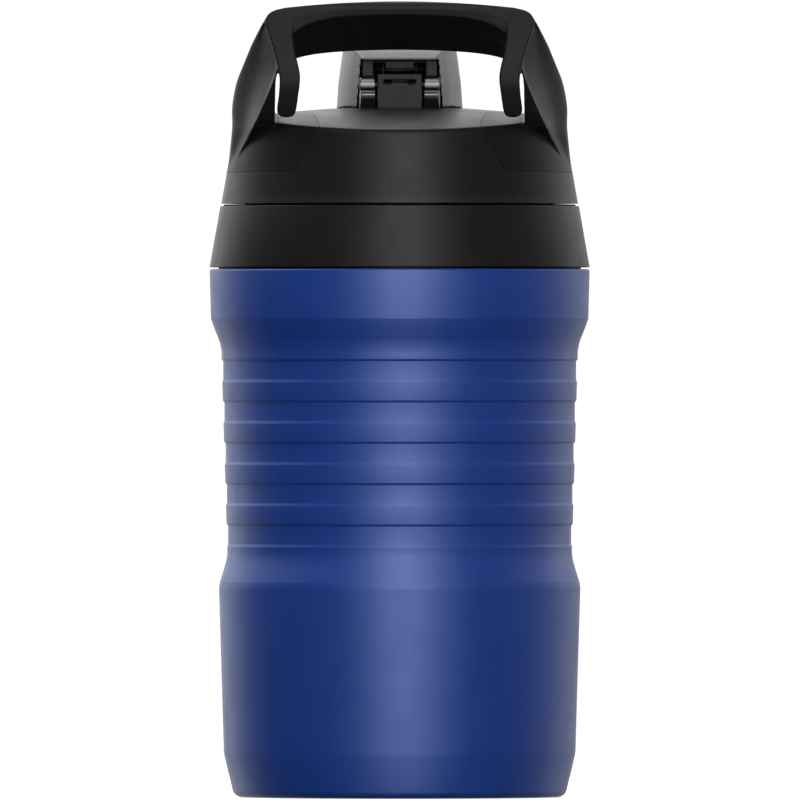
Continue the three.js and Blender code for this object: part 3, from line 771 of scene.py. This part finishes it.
def spout():
    outline = [
        (SPOUT_BORE, 243.5),
        (9, 243.5),
        (9, 260),
        (10, 261),
        (10, 266.4),
        (8.6, 268),
        (8.1, SPOUT_TOP_Z - 0.8),
        (7.4, SPOUT_TOP_Z),
        (SPOUT_BORE, SPOUT_TOP_Z),
    ]
    return moved(turned(rounded(outline, 0.6), MEDIUM_ROUND), SPOUT_Y)


def latch_button():
    """The button in the wall, and the plate behind it whose window the cap's tongue enters."""
    below = LID_BOTTOM_Z - 1
    face = common(cut(lid_body(-0.5), lid_body(1.5, below)), button_window(0))
    plate = box(-7, 7, 38.5, 63, BUTTON_Z + 1.2, BUTTON_Z + 2.4)
    window = box(-4.7, 4.7, TONGUE_Y - 2.9, TONGUE_Y + 4, 250, 256)
    stem = rod("y", 0.9, 59.2, 63.4, (0, BUTTON_Z - SPRING_DROP), TINY_ROUND)
    return joined(face, cut(plate, window), stem)


def latch_spring():
    """A coil from the inner lid's stop to the back of the button."""
    foot = np.array([0, SPRING_SEAT_Y + SPRING_WIRE_R, BUTTON_Z - SPRING_DROP])
    ahead = np.array([0, 1, 0])
    sides = arc(0, 0, SPRING_WIRE_R, 0, 360, 12)[:-1]
    rings = []
    for t in np.linspace(0, SPRING_TURNS, TINY_ROUND * SPRING_TURNS):
        out = np.array([math.cos(2 * math.pi * t), 0, math.sin(2 * math.pi * t)])
        middle = foot + SPRING_LEAD * t * ahead + SPRING_R * out
        rings.append([middle + u * out + v * ahead for u, v in sides])
    return loft(rings)


# ---- handle --------------------------------------------------------------------------------------
# (height, X or Y) along one arm, from its root in the wall up to the top corner: its outermost
# line, its rear edge and its front
CREST_X = [(236, 66.2), (241, 65.9), (250, 64.9), (258, 64.2), (264, 64.3), (269, 63.7)]
CREST_X += [(274, 62.6), (280, 60.6), (286, 58), (292, 55), (300, 50.6)]
CREST_Y = [(236, -4), (245, -9), (254, -16), (262, -20.5), (270, -23.5), (278, -28.5)]
CREST_Y += [(286, -38), (295, -53), (300, -57)]
NEAR_X = [(236, 65.6), (244.6, 62.5), (254, 57.8), (267.7, 51.9), (280.7, 47.5), (288, 48.7)]
NEAR_X += [(294.6, 51.2), (300, 50.4)]
NEAR_Y = [(236, -10), (244.6, -19.6), (253, -32.1), (257.6, -42), (266, -49.5), (275, -55)]
NEAR_Y += [(283, -58.5), (295, -60), (300, -60)]
FRONT_Y = [(236, 26), (250, 20), (260, 12), (270, 0), (280, -14), (290, -26), (300, -34)]

crest_x, crest_y = through(CREST_X), through(CREST_Y)
near_x, near_y, front_y = through(NEAR_X), through(NEAR_Y), through(FRONT_Y)


def arm_section(z):
    """Both arms at one height, filled in between; the arch is cut out of that later."""
    cx, cy, nx, ny, fy = crest_x(z), crest_y(z), near_x(z), near_y(z), front_y(z)
    root = (nx - 0.8 * (cx - nx), ny - 0.8 * (cy - ny))
    turn = (fy - cy) / 2
    hollow = ARM_HOLLOW * rising(z, 294, 264) * rising(z, 244, 256)
    cy += ARM_CREST_LIFT * rising(z, 250, 265) * rising(z, 296, 281)
    flank = rising(z, 250, 270)
    sx, sy = nx + 0.05 * flank, ny + ARM_FLANK * flank
    outer = spline(
        [
            (sx, sy),
            ((sx + cx) / 2 - hollow, (sy + cy) / 2),
            (cx - 0.5, cy - 1.6),
            (cx, cy + 1.2),
            (cx - 0.35, cy + turn * 0.8),
            (cx - 2.2, cy + turn * 1.5),
            (cx - 6, fy + 1),
            (cx - 9, fy + 12),
        ],
        5,
    )
    right = [root, (nx - 0.9 * flank, ny), *map(tuple, outer)]
    return [(x, y, z) for x, y in mirrored(right)]


def arch_section(y, top, drop, power, half):
    """The hand hole at one depth: half its width, its top, and how far and fast the top falls."""
    right = [(half, 225)]
    for t in np.linspace(0, 1, 25):
        x = half * (1 - t**1.6)
        bow = BAR_BOW * x * x
        right.append((x, top - bow - drop * (1 - (1 - (x / half) ** power) ** (1 / power))))
    left = [(-x, z) for x, z in reversed(right[:-1])]
    return [(x, y, z) for x, z in right + left]


def hook_curl(z):
    """How far forward a hook is at that height: it bends quickly at first, and then gently."""
    quick = np.clip(HOOK_BEND_Z - z, 0, HOOK_BEND)
    gentle = max(0, HOOK_BEND_Z - HOOK_BEND - z)
    return HOOK_LEAN * (quick**2 / (2 * HOOK_BEND) + gentle) + HOOK_CURL * gentle**2


def hook_blade():
    """The right fence hook with the corner of the rim above it."""
    outline = [
        (36, 303.2),
        (34, 299.6),
        (37.5, 298.9),
        (39.8, 298),
        (41.2, 296.2),
        (41, 293),
        (39.9, 285),
        (38.8, 280.6),
        (38.1, 276.5),
        (38.2, 273.4),
        (38.8, 269),
        (39.8, 262.8),
        (40.6, 261.3),
        (42, HOOK_TIP_Z),
        (44.6, HOOK_TIP_Z),
        (46.2, 261.4),
        (46.9, 263),
        (46.3, 268.5),
        (45.9, 274),
        (46.2, 277.6),
        (47.3, 282.6),
        (49, 288.6),
        (50.9, 294.6),
        (51.4, 297.4),
        (50.2, 300),
        (48.2, 301.3),
        (45.8, 302),
    ]
    smooth = spline([*outline, outline[0]], 3)[:-1]
    levels = [310, *np.linspace(HOOK_BEND_Z, HOOK_TIP_Z - 1, 16)]
    back = [(RIM_Y + hook_curl(z), z) for z in levels]
    front = [(y + HOOK_THICK, z) for y, z in reversed(back)]
    slab = along("y", smooth, RIM_Y - 1, RIM_Y + 12)
    return common(slab, along("x", [*back, *front], 30, 60))


def handle():
    """Two leaning arms under a bar, cut to outlines from the back and the side, with hooks."""
    arms = loft([arm_section(z) for z in np.arange(235, 307, 1.5)])
    crown = [(x, HANDLE_TOP_Z - BAR_BOW * x * x) for x in np.linspace(-44, 44, 45)]
    side = [(45.8, 302), (48.2, 301.3), (50.2, 300), (51.3, 298.5), (53.2, 295.3), (56.8, 288.4)]
    side += [(62, 276), (72, 262), (72, 230)]
    roof = along("y", [*crown, *mirrored(side)], -80, 80)
    bar = [
        (RIM_Y, 292),
        (RIM_Y, 302.4),
        (-59.3, 304),
        (-57.6, 304.9),
        (-54, 305.2),
        (-50, 304.4),
        (-44, 301.3),
        (-38, 296.9),
        (-33.6, 292.6),
        (-31.8, 289.6),
        (-31.9, 287.4),
        (-31.2, 285.4),
        (-26, 282),
    ]
    back = [(near_y(z), z) for z in np.arange(242, 289, 3)]
    front = [(front_y(z) + 0.5, z) for z in np.arange(274, 243, -6)]
    side_view = along("x", [(-8, 234), *back, *bar, *front, (27, 234)], -80, 80)
    body = common(arms, roof, side_view)
    sections = [
        (-66, 304.2, 5, 12, 41.8),
        (RIM_Y, 302.1, 5, 12, 41.6),
        (-59.45, 299.7, 54, 5.2, ARM_INNER_X),
        (-45, 292.8, 36, 5.6, ARM_INNER_X),
        (-33, 286.6, 20, 6, ARM_INNER_X),
        (70, 286, 20, 6, ARM_INNER_X),
    ]
    body = cut(body, loft([arch_section(*section) for section in sections]))
    body = joined(body, both_sides(hook_blade()))
    roots = common(lid_body(0), foot_region(2.5))
    body = soften(joined(body, roots), SKIN, 3, HANDLE_KEEP)
    below = LID_BOTTOM_Z - 3
    body = cut(body, lid_body(PAD_THICK, below))
    body = cut(body, cut(lid_body(-GAP, below), foot_region(0)))
    return cut(body, *[rod("z", SCREW_PILOT_R, 250, 266.5, xy, TINY_ROUND) for xy in SCREWS])


# ---- flip cap ------------------------------------------------------------------------------------
CAP_PLAN = [(16.9, -11.2), (20.4, -4), (23.4, 5), (24.4, 14), (23.8, 24), (21.4, 34), (17.2, 42.4)]
CAP_PLAN += [(11, 47.4), (4, 49)]
CAP_TOP = [(-14.5, 283.3), (-9, 286), (-2, 288.3), (8, 289.6), (18, 289), (28, 286.4), (38, 281.4)]
CAP_TOP += [(46, 275), (60, 262)]


def cap_hull(inset, low):
    """The cap's envelope, moved inward: its plan narrows upward, and its top is cut to a curve."""
    plan = [(15.5, -14), *map(tuple, spline(CAP_PLAN, 4))]
    rings = []
    for z, scale in ((low, 1), (273.8, 0.968), (283, 0.92), (292, 0.86)):
        right = []
        for x, y in plan:
            forward = -0.9 * inset if y > 40 else inset if y < PIN_Y else 0
            right.append(((x - inset) * scale, y + forward))
        rings.append([(x, y, z) for x, y in mirrored(right)])
    top = [(y, z - inset) for y, z in spline(CAP_TOP, 4)]
    shape = [(-40, 240), (-40, 272 - inset), *top, (60, 240)]
    return common(loft(rings), along("x", shape, -40, 40))


def cap_trimmed(body):
    """The body without what would touch the dome, and without rear corners that swing into it."""
    dome = lid_body(-0.3, 220, 0.2)
    swing = rod("x", CAP_SWING_R, -40, 40, (PIN_Y, PIN_Z), MEDIUM_ROUND)
    rear = cut(box(-40, 40, -30, PIN_Y, 255, PIN_Z), swing)
    return cut(body, dome, rear)


def hinge_notch(grow, top):
    """The opening in the cap's back for the hinge."""
    right = [(14.9 + grow, top), (17.2 + grow, 258)]
    return along("y", mirrored(right), -30, -4.5 + grow)


def cap_cover():
    """The cap's outer moulding, open at the back and below."""
    skin = cut(cap_hull(0, 262), cap_hull(CAP_SKIN, 250))
    return soften(cut(cap_trimmed(skin), hinge_notch(0, 283)), SKIN, 3, CAP_KEEP)


def cap_frame():
    """The cap's inner moulding, with the hinge arms, the seal's boss and the latch tongue."""
    inset = CAP_SKIN + GAP
    body = cut(cap_hull(inset, 262), cap_hull(inset + 1.6, 250))
    body = cut(cap_trimmed(body), hinge_notch(GAP, 282.9))
    arm = joined(
        box(HINGE_ARM_INNER, HINGE_ARM_OUTER, PIN_Y + 0.2, PIN_Y + 3.2, PIN_Z, 282.9),
        box(HINGE_ARM_INNER, HINGE_ARM_OUTER, PIN_Y + 0.2, -2, 281.2, HINGE_ARM_TOP_Z),
        rod("x", KNUCKLE_R, KNUCKLE_INNER, KNUCKLE_OUTER, (PIN_Y, PIN_Z)),
    )
    bridge = box(-9.95, 9.95, PIN_Y + 0.6, -2, 281.8, HINGE_ARM_TOP_Z)
    boss = common(rod("z", 7.4, SPOUT_TOP_Z + 2.35, 292, (0, SPOUT_Y)), cap_hull(inset, 262))
    tongue = box(-4, 4, TONGUE_Y - 1, TONGUE_Y + 1, 250, 272.6)
    barb = box(-4, 4, TONGUE_Y - 2.5, TONGUE_Y, 250, 251.6)
    web = box(-5.6, 5.6, PIN_Y + 0.6, PIN_Y + 1.9, 279.6, 282.4)
    body = joined(body, both_sides(arm), bridge, web, boss, tongue, barb)
    body = soften(body, FINE_SKIN, 2, CAP_KEEP)
    return cut(body, rod("x", PIN_R + GAP, -20, 20, (PIN_Y, PIN_Z)))


def on_knuckle(x, y, z):
    """The back of the cap's two knuckles."""
    return abs(x) > 9.1 and y < PIN_Y + 0.5 and math.hypot(y - PIN_Y, z - PIN_Z) < KNUCKLE_R + 0.1


def on_ear(x, y, z):
    """The two ears under them."""
    return 9.1 < abs(x) < 15.8 and PIN_Y - 7 < y < PIN_Y + 2 and 264.8 < z < 272


def cap_seal():
    outline = [
        (0, SPOUT_TOP_Z - 3),
        (3.2, SPOUT_TOP_Z - 3),
        (4.4, SPOUT_TOP_Z + 0.4),
        (9.8, SPOUT_TOP_Z + 0.4),
        (9.8, SPOUT_TOP_Z + 2),
        (0, SPOUT_TOP_Z + 2),
    ]
    return moved(turned(rounded(outline, 0.35), MEDIUM_ROUND), SPOUT_Y)


# ---- pieces --------------------------------------------------------------------------------------
finished("jacket", outer_shell(), "outer_shell", "jug", JACKET)
finished("liner", inner_liner(), "inner_liner", "jug", LINER)
ring = finished("shoulder_ring", collar(), "collar", "jug", BLACK)
# the collar's recess under the lid's edge gets a painted shade surface
painted(ring, GAP_SHADE, painted_shade_under_lid)
finished("sealing_ring", lid_gasket(), "lid_gasket", "lid_seal", SILICONE)
dome = finished("lid_dome", lid_shell(), "lid_shell", "lid", BLACK)
painted(dome, POLISHED, on_ear)
finished("lid_core", lid_insert(), "lid_insert", "lid", BLACK)
finished("drinking_spout", spout(), "spout", "lid", BLACK)
finished("carry_handle", handle(), "handle", "lid", HANDLE)
finished("latch_key", latch_button(), "latch_button", "button", BLACK_GLOSS)
spring = finished("latch_coil", latch_spring(), "button_spring", "lid", STEEL)
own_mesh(spring)
finished("flip_cap", cap_cover(), "cap_cover", "cap", CAP)
carrier = finished("cap_carrier", cap_frame(), "cap_frame", "cap", BLACK)
painted(carrier, POLISHED, on_knuckle)
finished("cap_plug", cap_seal(), "cap_seal", "cap", SILICONE)

# CAD solids that are shown as they are
CAD_SURFACES = {
    "foam_insulation": FOAM,
    "foam_plug": BLACK,
    "hinge_pin": DARK_STEEL,
    "torsion_spring_left": DARK_STEEL,
    "torsion_spring_right": DARK_STEEL,
    **{f"handle_screw_{i + 1}": STEEL for i in range(len(SCREWS))},
}
for node, surface in CAD_SURFACES.items():
    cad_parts[node].data.materials.clear()
    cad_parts[node].data.materials.append(surface)

# ---- studio --------------------------------------------------------------------------------------
# brightness of the studio round the object, against degrees from -Y towards +X
AROUND = [
    (-180, 1.1),
    (-135, 1.0),
    (-118, 0.4),
    (-105, 0.08),
    (-90, 0.02),
    (-60, 0.02),
    (-35, 0.03),
    (-22, 0.3),
    (-10, 1.7),
    (4, 2.8),
    (16, 1.8),
    (28, 0.4),
    (40, 0.04),
    (55, 0.02),
    (66, 0.04),
    (80, 0.1),
    (100, 0.27),
    (116, 0.5),
    (133, 0.92),
    (150, 0.65),
    (165, 0.7),
    (180, 1.0),
]
# how that brightness changes with the sine of the height above the horizon
UPWARD = [(-1, 0.03), (-0.6, 0.2), (-0.3, 0.68), (0, 1), (0.2, 1.3), (0.4, 1.6), (0.6, 1.3)]
UPWARD += [(0.8, 0.9), (1, 0.5)]
# soft lamps: where each one hangs, how bright it is and how tight its glow is
LAMPS = [((-0.4, 0.4, 0.825), 1.1, 7), ((-0.62, 0.16, 0.77), 1.4, 14)]
BRIGHTEST = 4.0  # what a full colour in the ramp round the object stands for
UPWARD_MOST = 2  # the same for the ramp up it
PAPER = 1.05  # the background that the camera sees
FLOOR_R = 700
FLOOR_GLOW = 0.75
CAMERA_LENS = 1500
CAMERA_PLACE = (0.00013, -12.804)  # X and Y, metres; the camera is level with the middle


def ramp(nodes, stops, low, high, scale):
    """A colour ramp through (input, level) stops, for a factor that runs from low to high."""
    made = nodes.new("ShaderNodeValToRGB")
    elements = made.color_ramp.elements
    elements[0].position = 0
    elements[1].position = 1
    for value, level in stops[1:-1]:
        elements.new((value - low) / (high - low)).color = (*[level / scale] * 3, 1)
    elements[0].color = (*[stops[0][1] / scale] * 3, 1)
    elements[-1].color = (*[stops[-1][1] / scale] * 3, 1)
    return made


def studio():
    """Soft light from all round; the camera itself sees plain paper."""
    world = bpy.data.worlds.new("studio")
    scene.world = world
    world.use_nodes = True
    nodes, links = world.node_tree.nodes, world.node_tree.links
    nodes.clear()

    def result(operation, *inputs, kind="ShaderNodeMath"):
        """The outcome of a sum with other nodes' results and plain numbers."""
        step = nodes.new(kind)
        step.operation = operation
        for socket, value in zip(step.inputs, inputs):
            if isinstance(value, bpy.types.NodeSocket):
                links.new(value, socket)
            else:
                socket.default_value = value
        return step.outputs["Value"]

    def light(colour, strength):
        made = nodes.new("ShaderNodeBackground")
        made.inputs["Strength"].default_value = strength
        if isinstance(colour, tuple):
            made.inputs["Color"].default_value = colour
        else:
            links.new(colour, made.inputs["Color"])
        return made.outputs[0]

    toward = nodes.new("ShaderNodeTexCoord").outputs["Generated"]
    split = nodes.new("ShaderNodeSeparateXYZ")
    links.new(toward, split.inputs[0])
    angle = result("ARCTAN2", split.outputs["X"], result("MULTIPLY", split.outputs["Y"], -1.0))
    round_ramp = ramp(nodes, AROUND, -180, 180, BRIGHTEST)
    up_ramp = ramp(nodes, UPWARD, -1, 1, UPWARD_MOST)
    links.new(result("MULTIPLY_ADD", angle, 1 / (2 * math.pi), 0.5), round_ramp.inputs["Fac"])
    links.new(result("MULTIPLY_ADD", split.outputs["Z"], 0.5, 0.5), up_ramp.inputs["Fac"])
    product = nodes.new("ShaderNodeMix")
    product.data_type = "RGBA"
    product.blend_type = "MULTIPLY"
    product.inputs["Factor"].default_value = 1
    links.new(round_ramp.outputs["Color"], product.inputs["A"])
    links.new(up_ramp.outputs["Color"], product.inputs["B"])
    everything = light(product.outputs["Result"], BRIGHTEST * UPWARD_MOST)
    for place, level, fall in LAMPS:
        facing = result("DOT_PRODUCT", toward, place, kind="ShaderNodeVectorMath")
        glow = result("POWER", result("MAXIMUM", facing, 0.0), fall)
        total = nodes.new("ShaderNodeAddShader")
        links.new(everything, total.inputs[0])
        links.new(light(glow, level), total.inputs[1])
        everything = total.outputs[0]
    choice = nodes.new("ShaderNodeMixShader")
    links.new(nodes.new("ShaderNodeLightPath").outputs["Is Camera Ray"], choice.inputs[0])
    links.new(everything, choice.inputs[1])
    links.new(light(PLAIN, PAPER), choice.inputs[2])
    output = nodes.new("ShaderNodeOutputWorld")
    links.new(choice.outputs[0], output.inputs["Surface"])


def floor():
    """A pale sweep under the object; it takes the object's shadow and throws no light back."""
    made = bpy.data.materials.new("pale_floor")
    made.use_nodes = True
    shader = made.node_tree.nodes["Principled BSDF"]
    shader.inputs["Base Color"].default_value = (0.85, 0.85, 0.85, 1)
    shader.inputs["Roughness"].default_value = 0.9
    shader.inputs["Specular IOR Level"].default_value = 0
    shader.inputs["Emission Color"].default_value = PLAIN
    shader.inputs["Emission Strength"].default_value = FLOOR_GLOW
    disc = turned([(0, -3), (FLOOR_R, -3), (FLOOR_R, -0.2), (0, -0.2)])
    disc.name = "floor"
    disc.data.materials.append(made)
    disc.visible_diffuse = False
    disc.visible_glossy = False


def camera():
    data = bpy.data.cameras.new("camera")
    data.lens = CAMERA_LENS
    data.sensor_width = 36
    data.clip_end = 100
    view = bpy.data.objects.new("camera", data)
    scene.collection.objects.link(view)
    view.location = (*CAMERA_PLACE, (cad_low.z + cad_high.z) / 2)
    view.rotation_euler = (math.pi / 2, 0, 0)
    scene.camera = view


studio()
floor()
camera()
scene.view_settings.view_transform = "Standard"
